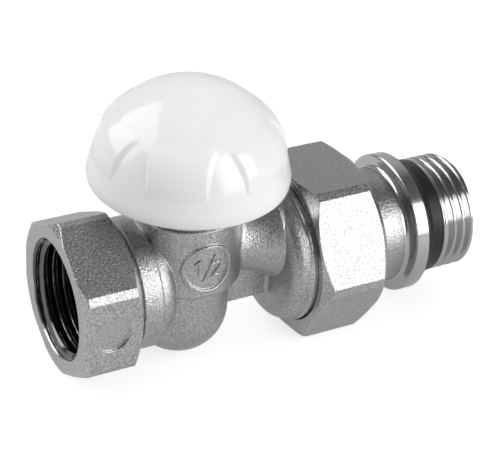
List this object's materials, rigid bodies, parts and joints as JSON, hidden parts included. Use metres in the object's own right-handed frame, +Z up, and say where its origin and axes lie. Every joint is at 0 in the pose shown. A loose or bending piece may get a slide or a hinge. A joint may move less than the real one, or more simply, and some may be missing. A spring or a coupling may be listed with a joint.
{
  "type": "manual radiator valve",
  "caption": "Straight half-inch radiator valve: plated body with hexagon socket, domed plastic knob, union nut and tailpiece with self-sealing ring.",
  "frame": {"origin": "centre of the inlet socket's mouth, on the pipe axis", "axes": "+X along the pipe axis from the inlet to the outlet tail, +Z up the spindle towards the knob"},
  "size_m": [0.078, 0.0342, 0.0514],
  "materials": {
    "forged_nickel": "satin",
    "turned_nickel": "turned",
    "bare_brass": "machined",
    "spring_steel": "drawn",
    "white_knob": "gloss",
    "black_rubber": "moulded",
    "slide_plastic": "matt"
  },
  "bodies": {
    "body": {"valve_body": "forged_nickel", "bonnet": "turned_nickel", "bonnet_oring": "black_rubber", "gland_nut": "bare_brass", "lower_thrust_washer": "slide_plastic", "upper_thrust_washer": "slide_plastic"},
    "knob": {"knob": "white_knob", "knob_spring_ring": "spring_steel", "spindle": "bare_brass", "lower_stem_oring": "black_rubber", "upper_stem_oring": "black_rubber"},
    "disc": {"disc_holder": "bare_brass", "seat_disc": "black_rubber", "disc_washer": "bare_brass", "disc_screw": "bare_brass"},
    "tail": {"tailpiece": "turned_nickel", "union_oring": "black_rubber", "tail_seal": "black_rubber", "nut_split_ring": "spring_steel"},
    "nut": {"union_nut": "forged_nickel"}
  },
  "joints": [
    {"name": "knob_turn", "type": "hinge", "parent": "body", "child": "knob", "pos_m": [0.024, 0, 0.02], "axis": [0, 0, 1], "range_deg": [0, 900]},
    {"name": "disc_lift", "type": "slide", "parent": "body", "child": "disc", "axis": [0, 0, 1], "range_m": [0, 0.0025]},
    {"name": "tail_slide", "type": "slide", "parent": "body", "child": "tail", "axis": [1, 0, 0], "range_m": [0, 0.00726]},
    {"name": "nut_turn", "type": "hinge", "parent": "tail", "child": "nut", "pos_m": [0.05, 0, 0], "axis": [1, 0, 0], "range_deg": [0, 1440]}
  ],
  "couplings": [
    {"joint": "disc_lift", "follows": "knob_turn", "m_per_rad": 0.00015915},
    {"joint": "tail_slide", "follows": "nut_turn", "m_per_rad": 0.0002887}
  ]
}
